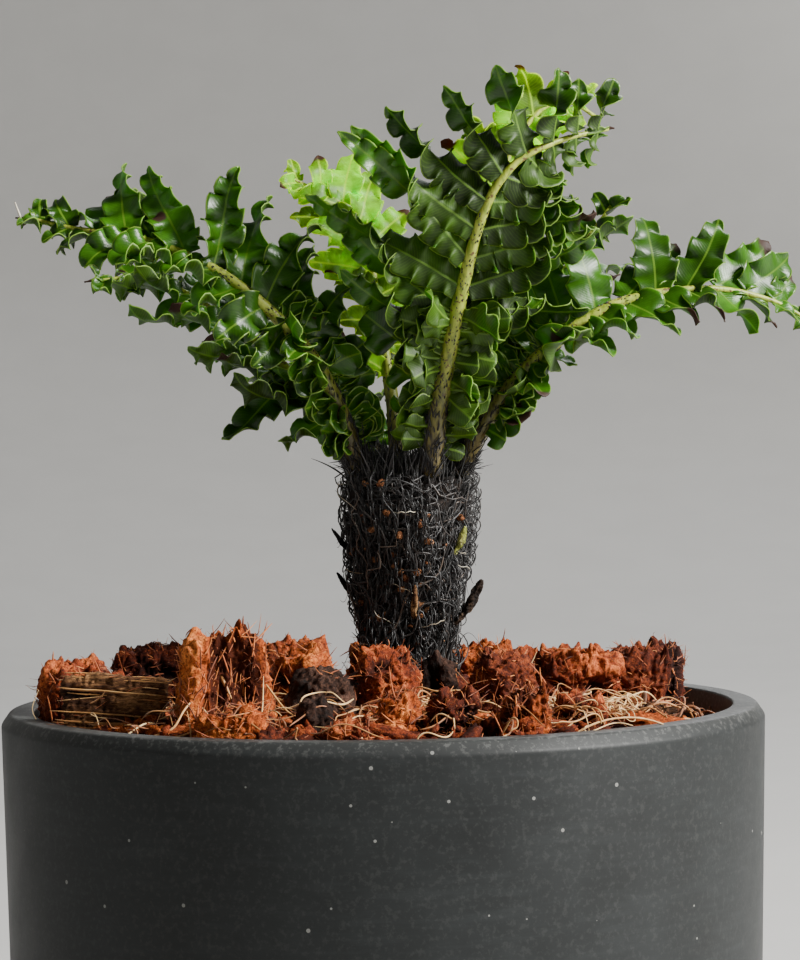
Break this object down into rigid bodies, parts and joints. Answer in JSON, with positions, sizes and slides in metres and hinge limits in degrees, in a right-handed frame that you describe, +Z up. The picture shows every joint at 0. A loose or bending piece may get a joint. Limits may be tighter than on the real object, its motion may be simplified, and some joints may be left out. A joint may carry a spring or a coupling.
{
  "type": "potted fern",
  "caption": "Small fern with a root-wrapped trunk and arching crisped fronds, in a round straight-sided pot topped with husk chips.",
  "frame": {"origin": "middle of the pot's flat underside, on the surface it stands on", "axes": "+Z up along the pot's axis; the side seen in the picture faces -Y, with +X to its right"},
  "size_m": [0.1412, 0.1349, 0.229],
  "materials": {
    "pot": "matte",
    "medium": "matte",
    "trunk": "matte",
    "old_stalk": "matte",
    "shoot": "matte",
    "husk_red": "matte",
    "husk_dark": "matte",
    "husk_orange": "matte",
    "stalk": "satin",
    "leaf": "satin",
    "young_leaf": "satin"
  },
  "bodies": {
    "root": {"frond_back_left_leaflets_left": "leaf", "frond_back_left_leaflets_right": "leaf", "frond_back_left_stalk": "stalk", "frond_back_right_leaflets_left": "leaf", "frond_back_right_leaflets_right": "leaf", "frond_back_right_stalk": "stalk", "frond_front_leaflets_left": "leaf", "frond_front_leaflets_right": "leaf", "frond_front_stalk": "stalk", "frond_left_leaflets_left": "leaf", "frond_left_leaflets_right": "leaf", "frond_left_low_leaflets_left": "leaf", "frond_left_low_leaflets_right": "leaf", "frond_left_low_stalk": "stalk", "frond_left_stalk": "stalk", "frond_left_up_leaflets_left": "young_leaf", "frond_left_up_leaflets_right": "young_leaf", "frond_left_up_stalk": "stalk", "frond_middle_leaflets_left": "young_leaf", "frond_middle_leaflets_right": "young_leaf", "frond_middle_stalk": "stalk", "frond_right_back_leaflets_left": "leaf", "frond_right_back_leaflets_right": "leaf", "frond_right_back_stalk": "stalk", "frond_right_leaflets_left": "leaf", "frond_right_leaflets_right": "leaf", "frond_right_stalk": "stalk", "growing_medium": "medium", "husk_chip_01": "husk_dark", "husk_chip_02": "husk_orange", "husk_chip_03": "husk_red", "husk_chip_04": "husk_dark", "husk_chip_05": "husk_orange", "husk_chip_06": "husk_red", "husk_chip_07": "husk_dark", "husk_chip_08": "husk_orange", "husk_chip_09": "husk_red", "husk_chip_10": "husk_dark", "husk_chip_11": "husk_orange", "husk_chip_12": "husk_red", "husk_chip_13": "husk_dark", "husk_chip_14": "husk_orange", "husk_chip_15": "husk_red", "husk_chip_16": "husk_dark", "husk_chip_17": "husk_orange", "husk_chip_18": "husk_red", "husk_chip_19": "husk_dark", "husk_chip_20": "husk_orange", "husk_chip_21": "husk_red", "husk_chip_22": "husk_dark", "husk_chip_23": "husk_orange", "husk_chip_24": "husk_red", "husk_chip_25": "husk_dark", "old_stalk_front": "old_stalk", "old_stalk_left": "old_stalk", "old_stalk_left_low": "old_stalk", "old_stalk_right": "old_stalk", "pot": "pot", "side_shoot": "shoot", "trunk": "trunk"}
  },
  "joints": []
}
